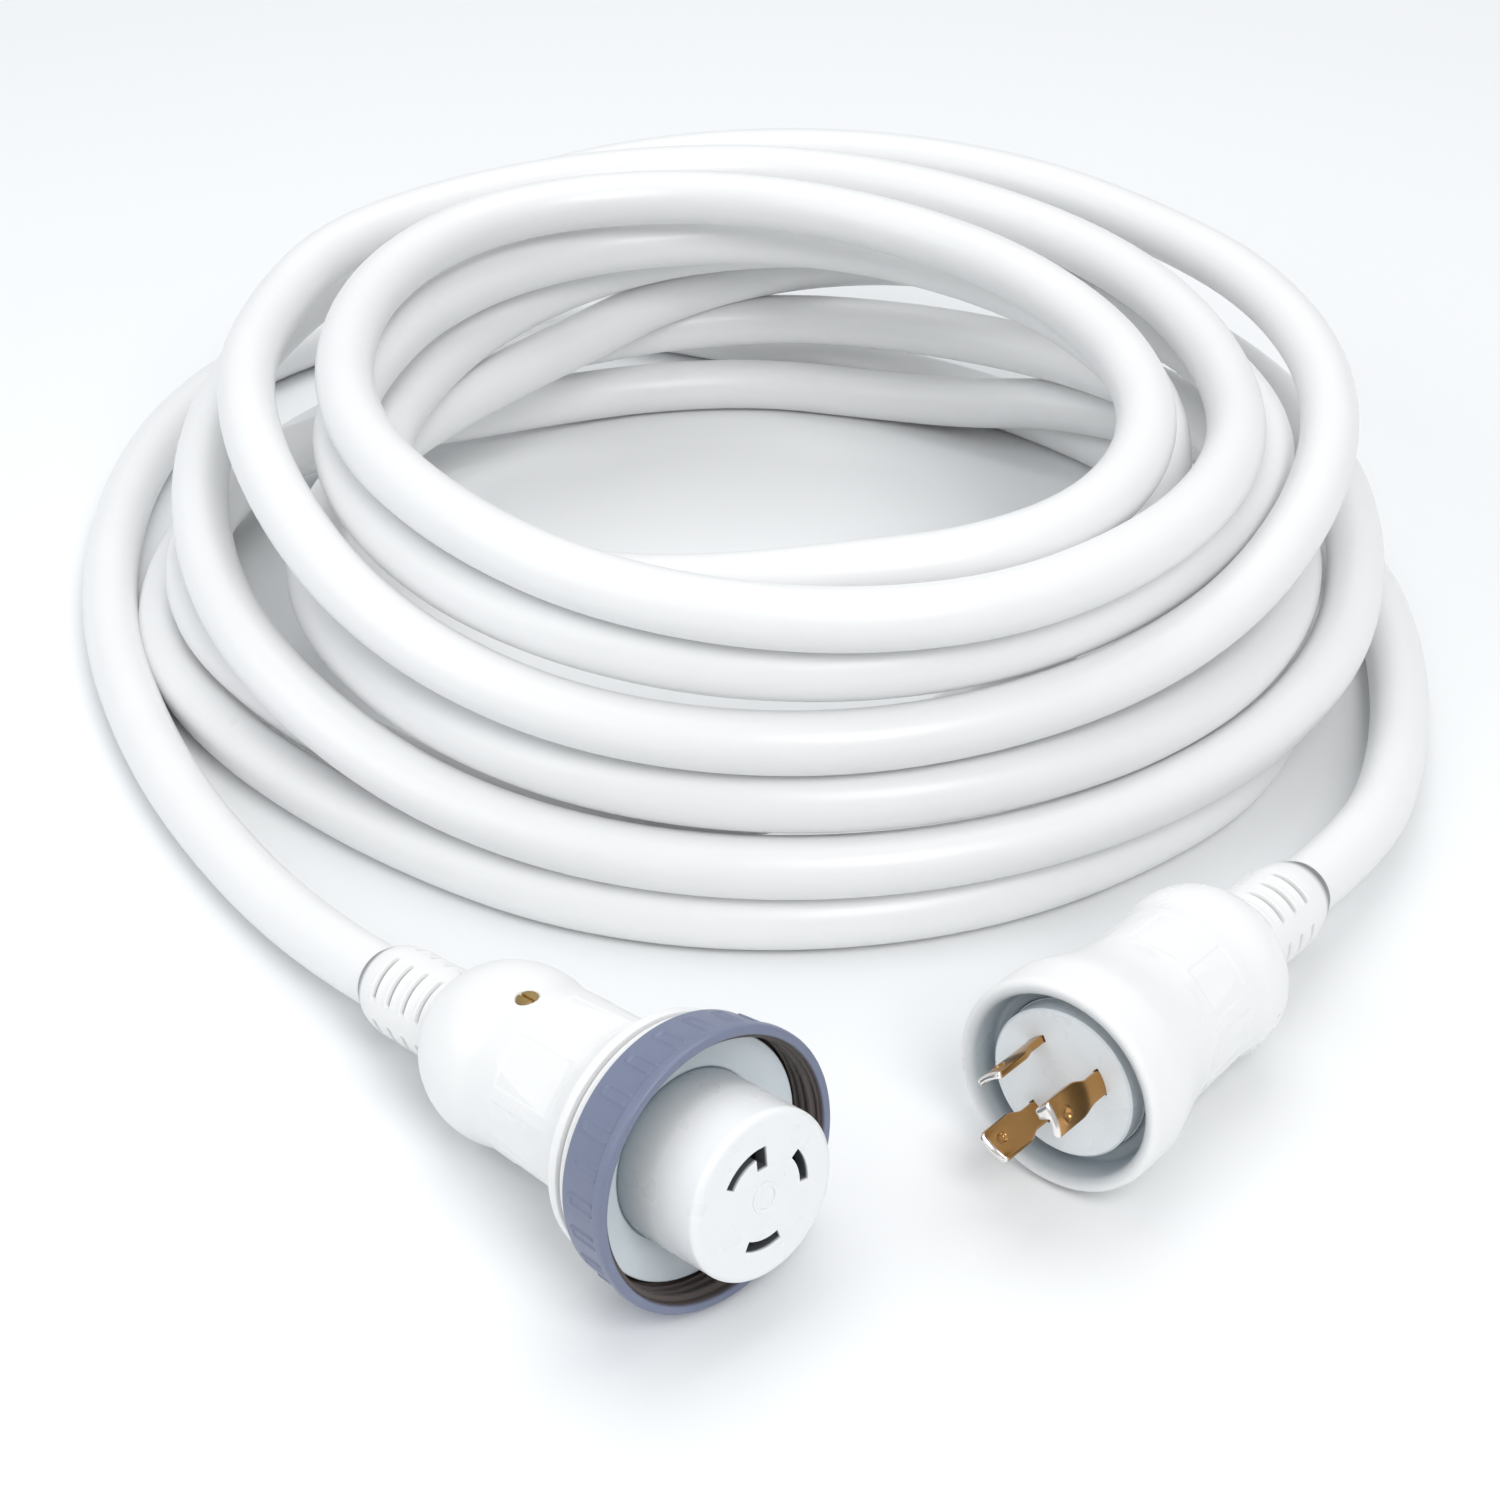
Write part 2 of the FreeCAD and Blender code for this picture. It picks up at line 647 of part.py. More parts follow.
def build():
    parts = {}
    connector = connector_pieces()
    connector_outside = [connector[n] for n in ("locking_ring", "retaining_flange", "connector_housing")]
    connector_place = resting_place(connector_outside, connector_front, connector_heading, connector_tilt)
    plug = plug_pieces()
    plug_place = resting_place([plug["plug_housing"]], plug_front, plug_heading, plug_tilt)
    for pieces, place in ((connector, connector_place), (plug, plug_place)):
        for name, shape in pieces.items():
            parts[name] = shape.copy()
            parts[name].Placement = place
    from_connector = tail_points(connector_place, connector_boot_end, connector_route)
    from_plug = tail_points(plug_place, plug_boot_end, plug_route)
    parts["connector_tail"] = cable_tube("connector_tail", from_connector, cable_radius)
    parts["plug_tail"] = cable_tube("plug_tail", from_plug, cable_radius)
    parts["cable_coil"] = coil()
    print("connector mouth", connector_place.multVec(V(connector_boot_end, 0, 0)))
    print("plug mouth", plug_place.multVec(V(plug_boot_end, 0, 0)))
    print("connector rim height", round(connector_place.Base.z, 2), "plug rim height", round(plug_place.Base.z, 2))
    return parts


os.makedirs("parts", exist_ok=True)
for part_name, part_shape in build().items():
    part_shape.exportStep("parts/" + part_name + ".step")
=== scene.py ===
import json
import math

import bpy
from mathutils import Matrix, Vector


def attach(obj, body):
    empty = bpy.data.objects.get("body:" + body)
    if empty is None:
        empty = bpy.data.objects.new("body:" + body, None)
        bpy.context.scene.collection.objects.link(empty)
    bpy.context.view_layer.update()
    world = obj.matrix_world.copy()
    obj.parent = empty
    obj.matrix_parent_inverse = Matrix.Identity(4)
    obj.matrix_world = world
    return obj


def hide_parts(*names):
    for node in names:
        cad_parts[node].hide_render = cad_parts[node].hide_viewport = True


MM = 0.001

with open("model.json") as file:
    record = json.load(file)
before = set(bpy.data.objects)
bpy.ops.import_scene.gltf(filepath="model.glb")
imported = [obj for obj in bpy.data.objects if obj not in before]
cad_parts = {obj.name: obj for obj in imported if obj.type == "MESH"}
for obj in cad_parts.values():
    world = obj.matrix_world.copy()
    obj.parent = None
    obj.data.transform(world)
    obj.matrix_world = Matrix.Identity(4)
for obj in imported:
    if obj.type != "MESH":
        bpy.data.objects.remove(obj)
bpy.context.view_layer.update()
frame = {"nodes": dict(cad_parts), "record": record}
nodes = frame["nodes"]

# ---------------------------------------------------------------- camera
CAMERA_PLACE = (-0.027, -0.547, 0.50005)
PITCH_DOWN = math.radians(34.95)
LENS, SENSOR_WIDTH = 69.49, 36

camera_data = bpy.data.cameras.new("camera")
camera_data.sensor_width = SENSOR_WIDTH
camera_data.lens = LENS
camera_data.clip_start = 0.01
camera_data.clip_end = 20
camera = bpy.data.objects.new("camera", camera_data)
camera.location = CAMERA_PLACE
camera.rotation_euler = (math.pi / 2 - PITCH_DOWN, 0, 0)
bpy.context.collection.objects.link(camera)
bpy.context.scene.camera = camera

# ---------------------------------------------------------------- kinds of material
NOISE_LOW, NOISE_HIGH = 0.15, 0.85  # nearly all values of the noise texture lie between these
SCUFF_BUMP = (0.04, 0.0002)  # strength, then distance in metres
GRAIN_SCALE, GRAIN_BUMP = 1400, (0.03, 0.00003)
METAL_TINT_SCALE, METAL_GLOSS_SCALE = 120, 500
METAL_GRAIN_SCALE, METAL_GRAIN_BUMP = 1600, (0.06, 0.00002)


class Nodes:
    """Short hand for building one material round its Principled shader."""

    def __init__(self, name, metallic=0.0):
        self.material = bpy.data.materials.new(name)
        self.material.use_nodes = True
        self.tree = self.material.node_tree
        self.shader = self.tree.nodes["Principled BSDF"]
        self.shader.inputs["Metallic"].default_value = metallic
        self.place = self.tree.nodes.new("ShaderNodeTexCoord").outputs["Object"]

    def link(self, source, target):
        self.tree.links.new(source, target)

    def noise(self, scale, detail, roughness):
        node = self.tree.nodes.new("ShaderNodeTexNoise")
        node.inputs["Scale"].default_value = scale
        node.inputs["Detail"].default_value = detail
        node.inputs["Roughness"].default_value = roughness
        self.link(self.place, node.inputs["Vector"])
        return node.outputs["Fac"]

    def tint(self, source, low, dark, high, light):
        """Base colour: dark where source is at low, light where it is at high."""
        node = self.tree.nodes.new("ShaderNodeValToRGB")
        for element, at, colour in zip(node.color_ramp.elements, (low, high), (dark, light)):
            element.position = at
            element.color = (*colour, 1)
        self.link(source, node.inputs["Fac"])
        self.link(node.outputs["Color"], self.shader.inputs["Base Color"])

    def gloss(self, source, smoothest, roughest):
        """Roughness that follows a noise."""
        node = self.tree.nodes.new("ShaderNodeMapRange")
        node.inputs["From Min"].default_value = NOISE_LOW
        node.inputs["From Max"].default_value = NOISE_HIGH
        node.inputs["To Min"].default_value = smoothest
        node.inputs["To Max"].default_value = roughest
        self.link(source, node.inputs["Value"])
        self.link(node.outputs["Result"], self.shader.inputs["Roughness"])

    def bump(self, layers):
        """layers are (height source, strength, distance in metres), the first underneath."""
        normal = None
        for source, strength, distance in layers:
            node = self.tree.nodes.new("ShaderNodeBump")
            node.inputs["Strength"].default_value = strength
            node.inputs["Distance"].default_value = distance
            self.link(source, node.inputs["Height"])
            if normal:
                self.link(normal, node.inputs["Normal"])
            normal = node.outputs["Normal"]
        self.link(normal, self.shader.inputs["Normal"])


def moulded(name, dark, light, rough, scuff=60):
    """Moulded plastic or vinyl: faint tone drift, fine grain, uneven gloss."""
    m = Nodes(name)
    m.tint(m.noise(scuff, 5, 0.6), NOISE_LOW, dark, NOISE_HIGH, light)
    m.gloss(m.noise(scuff, 2, 0.5), *rough)
    m.bump([(m.noise(scuff, 1, 0.4), *SCUFF_BUMP), (m.noise(GRAIN_SCALE, 2, 0.5), *GRAIN_BUMP)])
    return m.material


def metal(name, dark, light, rough=(0.18, 0.34)):
    """Bare metal: tone drift and very fine grain."""
    m = Nodes(name, metallic=1.0)
    m.tint(m.noise(METAL_TINT_SCALE, 4, 0.5), 0.3, dark, 0.7, light)
    m.gloss(m.noise(METAL_GLOSS_SCALE, 3, 0.5), *rough)
    m.bump([(m.noise(METAL_GRAIN_SCALE, 4, 0.6), *METAL_GRAIN_BUMP)])
    return m.material


# ---------------------------------------------------------------- second colours
def blend_towards(material, weight, colour):
    """Mixes colour into the material where weight (a socket of the material's tree) falls to 0."""
    tree = material.node_tree
    base_colour = tree.nodes["Principled BSDF"].inputs["Base Color"]
    mix = tree.nodes.new("ShaderNodeMix")
    mix.data_type = "RGBA"
    blended, kept = [s for s in mix.inputs if s.type == "RGBA"]
    blended.default_value = (*colour, 1)
    tree.links.new(weight, mix.inputs[0])
    tree.links.new(base_colour.links[0].from_socket, kept)
    tree.links.new([s for s in mix.outputs if s.type == "RGBA"][0], base_colour)
    return material


def vector_math(tree, operation, source, constant=None):
    node = tree.nodes.new("ShaderNodeVectorMath")
    node.operation = operation
    tree.links.new(source, node.inputs[0])
    if constant:
        node.inputs[1].default_value = constant
    return node


def ranged(tree, source, low, high):
    """0 where source is at low (mm) or beyond it, 1 at high or beyond it."""
    node = tree.nodes.new("ShaderNodeMapRange")
    node.inputs["From Min"].default_value = low * MM
    node.inputs["From Max"].default_value = high * MM
    tree.links.new(source, node.inputs["Value"])
    return node.outputs["Result"]


def largest(tree, a, b):
    node = tree.nodes.new("ShaderNodeMath")
    node.operation = "MAXIMUM"
    tree.links.new(a, node.inputs[0])
    tree.links.new(b, node.inputs[1])
    return node.outputs["Value"]


def along_and_out(tree, front=(0, 0, 0), axis=(1, 0, 0)):
    """Distance along an axis and distance from it, in the object's own coordinates."""
    coords = tree.nodes.new("ShaderNodeTexCoord").outputs["Object"]
    moved = vector_math(tree, "SUBTRACT", coords, front).outputs[0]
    along = vector_math(tree, "DOT_PRODUCT", moved, axis).outputs["Value"]
    across = vector_math(tree, "CROSS_PRODUCT", moved, axis).outputs[0]
    out = vector_math(tree, "LENGTH", across).outputs["Value"]
    return along, out


def paint_shade_inward(material, low, high, colour):
    """Paints shade of the given colour onto a turned piece where its own radius falls from high to low."""
    tree = material.node_tree
    return blend_towards(material, ranged(tree, along_and_out(tree)[1], low, high), colour)


def tipped(material, low, high, colour):
    """Shades a turned piece towards colour where it passes from high down to low along its own axis."""
    tree = material.node_tree
    return blend_towards(material, ranged(tree, along_and_out(tree)[0], low, high), colour)


# ---------------------------------------------------------------- materials
WHITE = ((0.835, 0.84, 0.84), (0.85, 0.855, 0.85), (0.25, 0.34))
FACE_WHITE = ((0.82, 0.83, 0.84), (0.84, 0.85, 0.855), (0.24, 0.34))
# painted shade: the locking ring's thread and inner wall are darkened to brown-grey inward of these radii
RING_INSIDE_SHADE, SHADED_RING_RADII = (0.075, 0.058, 0.052), (33.35, 33.8)
BARE_BRASS, SILVERING_STATIONS = (0.50, 0.27, 0.095), (17.2, 17.8)
# painted shade: the boots' slots are darkened grey inward of these radii
BOOT_SLOT_SHADE, SHADED_SLOT_RADII = (0.15, 0.155, 0.16), (10.3, 11.2)
# painted shade: the plug's recess round the blades is greyed inward of these radii and stations
RECESS_SHADE, RECESS_RADII, RECESS_STATIONS = (0.36, 0.41, 0.44), (24.2, 27.5), (-9.0, -9.6)

white_shell = moulded("white_shell", *WHITE)
white_face = moulded("white_face", *FACE_WHITE, scuff=90)
jacket = moulded("jacket", (0.82, 0.825, 0.825), (0.845, 0.85, 0.85), (0.26, 0.38), scuff=35)
ring_grey = moulded("ring_grey", (0.162, 0.186, 0.275), (0.185, 0.212, 0.31), (0.32, 0.44), scuff=120)
# painted shade on the ring's thread and inner wall
paint_shade_inward(ring_grey, *SHADED_RING_RADII, RING_INSIDE_SHADE)
seal = moulded("seal", (0.70, 0.77, 0.81), (0.76, 0.82, 0.85), (0.4, 0.5))
black = moulded("black", (0.02, 0.02, 0.022), (0.03, 0.03, 0.033), (0.45, 0.6))
green = moulded("green", (0.03, 0.20, 0.07), (0.04, 0.26, 0.09), (0.4, 0.5))
brass = metal("brass", (0.46, 0.25, 0.085), (0.56, 0.32, 0.12), (0.26, 0.36))
blade_brass = metal("blade_brass", (0.86, 0.83, 0.80), (0.93, 0.90, 0.87), (0.14, 0.22))
tipped(blade_brass, *SILVERING_STATIONS, BARE_BRASS)
screw_brass = metal("screw_brass", (0.42, 0.28, 0.10), (0.62, 0.44, 0.18))
steel = metal("steel", (0.5, 0.5, 0.49), (0.68, 0.68, 0.67))
face_grey = moulded("face_grey", (0.74, 0.78, 0.80), (0.78, 0.82, 0.84), (0.24, 0.34), scuff=90)
boot_white = moulded("boot_white", (0.83, 0.835, 0.83), (0.85, 0.85, 0.845), (0.28, 0.4))
# painted shade down in the boot's slots
paint_shade_inward(boot_white, *SHADED_SLOT_RADII, BOOT_SLOT_SHADE)


def plug_material():
    """White shell, with painted shade greying the recess round the blades' face."""
    material = moulded("plug_white", *WHITE)
    tree = material.node_tree
    along, out = along_and_out(tree)
    outside = largest(tree, ranged(tree, out, *RECESS_RADII), ranged(tree, along, *RECESS_STATIONS))
    return blend_towards(material, outside, RECESS_SHADE)


def dress(node_name, material):
    materials = nodes[node_name].data.materials
    materials.clear()
    materials.append(material)


by_slot = {
    "shell_white": white_shell, "insulator_white": white_face, "cable_jacket": jacket,
    "ring_plastic": ring_grey, "gasket_rubber": seal, "carrier_black": black,
    "contact_brass": brass, "screw_brass": screw_brass, "screw_steel": steel,
    "clamp_nylon": black, "wire_black": black, "wire_white": white_face, "wire_green": green,
}
for part in frame["record"]["subparts"]:
    dress(part["node"], by_slot[part["material_slot"]])

# ---------------------------------------------------------------- turned pieces
CORNER_STEPS = 6
CORNER_SHARE = 0.45  # of the shorter run beside a corner, at most


def lying(front, height, heading, tilt):
    """Where an end lies: its local +X runs out of the mating face, from the middle of the front rim."""
    return (Matrix.Translation(Vector((*front, height)) * MM)
            @ Matrix.Rotation(math.radians(heading), 4, "Z")
            @ Matrix.Rotation(math.radians(-tilt), 4, "Y"))


CONNECTOR = lying(front=(-34.0, -54.2), height=36.69, heading=-46.9, tilt=9.1)
PLUG = lying(front=(47.2, -18.1), height=30.16, heading=-129.2, tilt=5.2)


def smooth(low, high, value):
    """0 up to low, 1 from high on, eased between."""
    u = min(1.0, max(0.0, (value - low) / (high - low)))
    return u * u * (3 - 2 * u)


def off_centre(angle, first, pitch):
    """Degrees from the nearest of the places first, first + pitch, ..."""
    return (angle - first + pitch / 2) % pitch - pitch / 2


def rounded(corners, step=1.5, fine=()):
    """An outline in (s, radius). Each corner (s, radius, rounding) is rounded off and long runs are
    divided every step, or more finely where fine says so: (from s, to s, step)."""
    line = []
    for i, (s, r, size) in enumerate(corners):
        here = Vector((s, r))
        if size == 0:
            line.append(here)
            continue
        before = Vector(corners[i - 1][:2]) - here
        after = Vector(corners[(i + 1) % len(corners)][:2]) - here
        a = here + before.normalized() * min(size, before.length * CORNER_SHARE)
        b = here + after.normalized() * min(size, after.length * CORNER_SHARE)
        for k in range(CORNER_STEPS + 1):
            u = k / CORNER_STEPS
            line.append(a * (1 - u) ** 2 + here * 2 * u * (1 - u) + b * u**2)
    divided = []
    for a, b in zip(line, line[1:] + line[:1]):
        middle = (a.x + b.x) / 2
        pitch = step
        for low, high, small in fine:
            if low < middle < high or min(a.x, b.x) < low and max(a.x, b.x) > high:
                pitch = small
        count = max(1, math.ceil((b - a).length / pitch))
        divided += [a.lerp(b, k / count) for k in range(count)]
    return divided


def mesh_object(name, verts, faces, material):
    mesh = bpy.data.meshes.new(name)
    mesh.from_pydata(verts, [], faces)
    mesh.update()
    mesh.materials.append(material)
    thing = bpy.data.objects.new(name, mesh)
    bpy.context.collection.objects.link(thing)
    return thing


def round_point(s, radius, degrees):
    """A mesh point, in metres, from a place along the axis, a radius and an angle from +Y."""
    angle = math.radians(degrees)
    return s * MM, radius * math.cos(angle) * MM, radius * math.sin(angle) * MM


def band(i, j, count):
    """The faces between point rings number i and j, each of count points."""
    return [(i * count + k, i * count + (k + 1) % count, j * count + (k + 1) % count, j * count + k)
            for k in range(count)]


def skin(name, verts, faces, place, material, body, replaced):
    """A smooth visible piece that stands in for one CAD node."""
    thing = mesh_object(name, verts, faces, material)
    for polygon in thing.data.polygons:
        polygon.use_smooth = True
    thing.matrix_world = place
    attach(thing, body)
    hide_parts(replaced)


def spun(name, line, place, material, body, replaced, relief=None, slices=288):
    """A closed turned piece; relief(s, radius, angle) may move each point in or out."""
    verts = []
    for s, r in line:
        for k in range(slices):
            angle = math.degrees(2 * math.pi * k / slices)
            verts.append(round_point(s, relief(s, r, angle) if relief else r, angle))
    rows = len(line)
    faces = [face for i in range(rows) for face in band(i, (i + 1) % rows, slices)]
    skin(name, verts, faces, place, material, body, replaced)


# ---------------------------------------------------------------- nose
NOSE_FRONT = 15.4
NOSE_BORE = 18.6
# painted shade: the nose greys towards its foot and darkens down inside its bore and slots
NOSE_FOOT_STATIONS, NOSE_FOOT_SHADE = (-12.0, 1.0), (0.22, 0.27, 0.31)
NOSE_BORE_SHADE = (0.10, 0.11, 0.12)


def nose_material():
    """White insulator with painted shade down inside its slots and a little painted shade towards its
    foot.
    """
    material = moulded("nose_white", *FACE_WHITE, scuff=90)
    tree = material.node_tree
    axis = tuple(CONNECTOR.to_3x3() @ Vector((1, 0, 0)))
    along, out = along_and_out(tree, tuple(CONNECTOR.translation), axis)
    # painted shade towards the nose's foot
    blend_towards(material, ranged(tree, along, *NOSE_FOOT_STATIONS), NOSE_FOOT_SHADE)
    # painted shade down inside the bore and slots
    outside = largest(tree, ranged(tree, along, NOSE_FRONT - 0.9, NOSE_FRONT - 0.25),
                      ranged(tree, out, NOSE_BORE - 0.1, NOSE_BORE + 0.4))
    return blend_towards(material, outside, NOSE_BORE_SHADE)


dress("connector_nose", nose_material())
dress("plug_face", face_grey)

# ---------------------------------------------------------------- dish round the nose
DISH_HOLE = 21.65
DISH_RADIUS = 31.2

dish_line = rounded([
    (-11.8, DISH_HOLE, 0), (-11.8, 25.5, 0), (-11.0, 25.6, 0), (-11.0, DISH_RADIUS, 0),
    (-8.3, DISH_RADIUS, 0.5), (-8.9, 29.6, 1.5), (-10.2, 26.0, 2.5), (-11.0, 23.6, 1.5),
    (-11.3, DISH_HOLE, 0),
], step=0.6)
spun("dish_skin", dish_line, CONNECTOR, seal, "cordset", "sealing_gasket")

# ---------------------------------------------------------------- locking ring
RING_LENGTH = 16.0
RING_RADIUS = 36.0
RING_HOLE = 25.2
LIP = 3.0
THREAD_FLOOR = -13.0
THREAD_WALL = 33.3
THREAD_DEPTH = 1.3
THREAD_PITCH = 2.6
GRIP_PITCH = 15.0
GRIP_FIRST = 4.0
GRIP_HALF = 2.6
GRIP_RIM = 1.3
GRIP_RAISED, GRIP_SUNK = 0.42, 0.34


def grip(s, angle):
    """How far a grip stands out: a raised outline with a rounded tail round a sunk middle."""
    across = abs(off_centre(angle, GRIP_FIRST, GRIP_PITCH))
    tail = GRIP_HALF - RING_LENGTH
    reach = GRIP_HALF - 1.4 * (1 - smooth(tail, tail + 1.6, s)) ** 2
    outer = 1 - smooth(reach, reach + 0.5, across)
    inner = 1 - smooth(reach - GRIP_RIM, reach - GRIP_RIM + 0.6, across)
    inner *= smooth(tail + 1.0, tail + 1.7, s)
    along = smooth(tail - 0.2, tail + 0.3, s) * (1 - smooth(-LIP - 1.6, -LIP - 0.6, s))
    return along * (GRIP_RAISED * outer - GRIP_SUNK * inner)


def thread(s, angle):
    """How far the helical thread stands in from the ring's wall; it fades at both ends."""
    turn = (s / THREAD_PITCH + angle / 360) % 1
    crest = 1 - abs(turn - 0.5) * 2
    fade = smooth(THREAD_FLOOR + 0.6, THREAD_FLOOR + 2.4, s) * (1 - smooth(-2.4, -1.2, s))
    return THREAD_DEPTH * fade * smooth(0.25, 0.8, crest)


def ring_relief(s, r, angle):
    if r > THREAD_WALL + 0.6 and s < -LIP:
        return r + grip(s, angle)
    if THREAD_WALL - 0.3 < r < THREAD_WALL + 0.3 and s < -0.8:
        return r - thread(s, angle)
    return r


ring_line = rounded([
    (-RING_LENGTH, RING_HOLE, 0), (-RING_LENGTH, 34.2, 0.9), (-LIP - 0.5, 35.0, 0.4),
    (-LIP, RING_RADIUS, 0.5), (0, RING_RADIUS, 1.3), (0, THREAD_WALL + 0.4, 0.5),
    (-1.0, THREAD_WALL, 0.3), (THREAD_FLOOR, THREAD_WALL, 1.0), (THREAD_FLOOR, RING_HOLE, 0),
], fine=((-RING_LENGTH, 0, 0.2),))
spun("ring_skin", ring_line, CONNECTOR, ring_grey, "ring", "locking_ring", ring_relief, 720)

# ---------------------------------------------------------------- housings
PANEL_TURN = 45.0
PANEL_DEPTH = 0.22
PANEL_BORDER = 2.0
SCREW_SEAT = 21.2
SCREW_WELL = 2.75
SHELL_HOLE = 11.2
SHELL_INSIDE = 20.5
RELIEF_FROM = 21.9


def flats(s, r, angle, start, end, apothem):
    """Eight soft flats, each with a shallow sunk panel."""
    across = off_centre(angle, 0.0, PANEL_TURN)
    flat = apothem / math.cos(math.radians(across))
    blend = smooth(start - 2.5, start + 1.5, s) * (1 - smooth(end - 1.5, end + 3.0, s))
    from_edge = (PANEL_TURN / 2 - abs(across)) * math.radians(1) * apothem
    sunk = (smooth(1.6, 2.3, from_edge) * smooth(start + PANEL_BORDER, start + PANEL_BORDER + 0.8, s)
            * (1 - smooth(end - PANEL_BORDER - 0.6, end - PANEL_BORDER + 0.2, s)))
    return r + (min(r, flat) - r) * blend - PANEL_DEPTH * sunk


def screw_well(s, r, angle, station, turn):
    """A round well with a soft rim over each of the two opposite screws."""
    away = math.hypot(s - station, math.radians(off_centre(angle, turn, 180.0)) * r)
    return r + (min(r, SCREW_SEAT) - r) * (1 - smooth(SCREW_WELL, SCREW_WELL + 0.5, away))


def connector_relief(s, r, angle):
    if r > RELIEF_FROM and s < -28:
        return screw_well(s, flats(s, r, angle, -59.0, -34.0, 22.7), angle, -65.0, 93.0)
    return r


def plug_relief(s, r, angle):
    if r > RELIEF_FROM and s < -30:
        return screw_well(s, flats(s, r, angle, -56.0, -36.0, 22.9), angle, -52.0, 151.0)
    return r


connector_line = rounded([
    (-98, SHELL_HOLE, 0), (-98, 12.8, 0.4), (-95.2, 15.9, 2.0), (-90, 20.0, 3.0), (-84, 22.6, 3.0),
    (-79, 23.6, 3.0), (-73.5, 23.6, 2.5), (-69, 22.7, 2.5), (-66, 22.4, 1.5), (-32, 24.1, 2.5),
    (-27.4, 25.6, 2.5), (-24.2, 28.6, 1.2), (-24.2, 31.8, 0.9), (-21.2, 31.8, 0.5), (-21.2, 28.2, 0.2),
    (-19.8, 28.2, 0), (-19.8, SHELL_INSIDE, 0), (-75.5, SHELL_INSIDE, 0), (-84.5, 19.0, 0),
    (-91.1, 15.0, 0), (-91.1, SHELL_HOLE, 0),
], fine=((-69, -61, 0.2), (-61, -30, 0.5)))
spun("connector_shell_skin", connector_line, CONNECTOR, white_shell, "cordset",
     "connector_housing", connector_relief, 720)

plug_line = rounded([
    (-82, SHELL_HOLE, 0), (-82, 13.0, 0.4), (-80.2, 16.0, 1.5), (-77.2, 19.8, 2.0), (-72.8, 22.9, 2.5),
    (-68.0, 24.0, 2.5), (-64, 23.9, 2.0), (-60.5, 23.0, 1.8), (-58, 22.8, 1.2), (-34, 23.5, 3.0),
    (-27.5, 24.6, 3.0), (-20, 26.9, 3.0), (-14, 28.6, 2.0), (-10, 28.8, 1.5), (0, 28.8, 2.4),
    (0, 24.9, 1.9), (-8.5, 23.6, 1.2), (-8.5, SHELL_INSIDE, 0), (-56, SHELL_INSIDE, 0),
    (-67, 19.0, 0), (-75.1, 15.0, 0), (-75.1, SHELL_HOLE, 0),
], fine=((-56, -48, 0.2), (-60, -32, 0.5)))
spun("plug_shell_skin", plug_line, PLUG, plug_material(), "cordset",
     "plug_housing", plug_relief, 720)

# ---------------------------------------------------------------- blades
BLADE_ROWS, BLADE_COLUMNS = 110, 44
BLADE_RADIUS = 12.2
BLADE_HALF = 0.9
BLADE_TIP = 18.5
BLADE_FOOT = -6.0
ROOT_NARROWING = 7.5  # degrees off each side of the root
TIP_CORNER, TIP_CORNER_TURN = 1.5, 6.0  # along the blade in mm, round it in degrees
TIP_BEVEL = 0.9
DIMPLE_FROM_TIP, DIMPLE_TURN = 5.0, -3.0
DIMPLE_DEPTH, DIMPLE_RIM = 0.55, 0.12
HOOK_DEPTH = 3.0
HOOK_STATION = 6.0
HOOK_TURN = 12.0  # degrees that the hook fills at one side


def blade_half_span(s, span):
    """Half the angle that a blade fills: narrow root, wide tip with rounded corners."""
    corner = max(0.0, TIP_CORNER - (BLADE_TIP - s)) / TIP_CORNER
    half = span / 2 - ROOT_NARROWING * (1 - smooth(2.0, 7.5, s))
    return half - TIP_CORNER_TURN * (1 - math.sqrt(max(0.0, 1 - corner**2)))


def blade_reach(s, share, across, face):
    """Distance of the blade's outer (face 1) or inner (face -1) side from its middle radius."""
    bevel = max(0.0, TIP_BEVEL - (BLADE_TIP - s)) / TIP_BEVEL
    edge = max(0.0, abs(share) - 0.9) / 0.1
    out = BLADE_HALF * (1 - 0.55 * bevel**1.5) * math.sqrt(max(0.0, 1 - edge**2))
    away = math.hypot(s - (BLADE_TIP - DIMPLE_FROM_TIP), math.radians(across - DIMPLE_TURN) * BLADE_RADIUS)
    dimple = DIMPLE_DEPTH * (1 - smooth(0.9, 1.5, away))
    rim = DIMPLE_RIM * smooth(1.2, 1.6, away) * (1 - smooth(1.7, 2.1, away))
    return face * (out - dimple + rim)


def blade_skin(name, turn, span, hooked, replaced):
    """A curved blade with a dimple near its tip, and an inward hook along one side if hooked."""
    verts = []
    for i in range(BLADE_ROWS + 1):
        s = BLADE_FOOT + (BLADE_TIP - BLADE_FOOT) * (i / BLADE_ROWS) ** 0.9
        half = blade_half_span(s, span)
        for face in (1, -1):
            for k in range(BLADE_COLUMNS):
                share = math.sin((2 * k / (BLADE_COLUMNS - 1) - 1) * math.pi / 2) * face
                across = half * share
                reach = blade_reach(s, share, across, face)
                if hooked and face < 0:
                    reach -= (HOOK_DEPTH * smooth(half - HOOK_TURN - 1, half - HOOK_TURN + 1, across)
                              * smooth(HOOK_STATION - 0.4, HOOK_STATION + 0.4, s))
                verts.append(round_point(s, BLADE_RADIUS + reach, turn + across))
    ring = 2 * BLADE_COLUMNS
    faces = [face for i in range(BLADE_ROWS) for face in band(i, i + 1, ring)]
    for i, order in ((0, -1), (BLADE_ROWS, 1)):
        for k in range(BLADE_COLUMNS - 1):
            quad = [i * ring + k, i * ring + k + 1, i * ring + ring - 2 - k, i * ring + ring - 1 - k]
            faces.append(tuple(quad[::order]))
    skin(name, verts, faces, PLUG, blade_brass, "cordset", replaced)


blade_skin("ground_blade_skin", 30.0, 44.0, True, "plug_ground_blade")
blade_skin("line_blade_skin", 134.0, 38.0, False, "plug_line_blade")
blade_skin("neutral_blade_skin", -114.0, 44.0, False, "plug_neutral_blade")

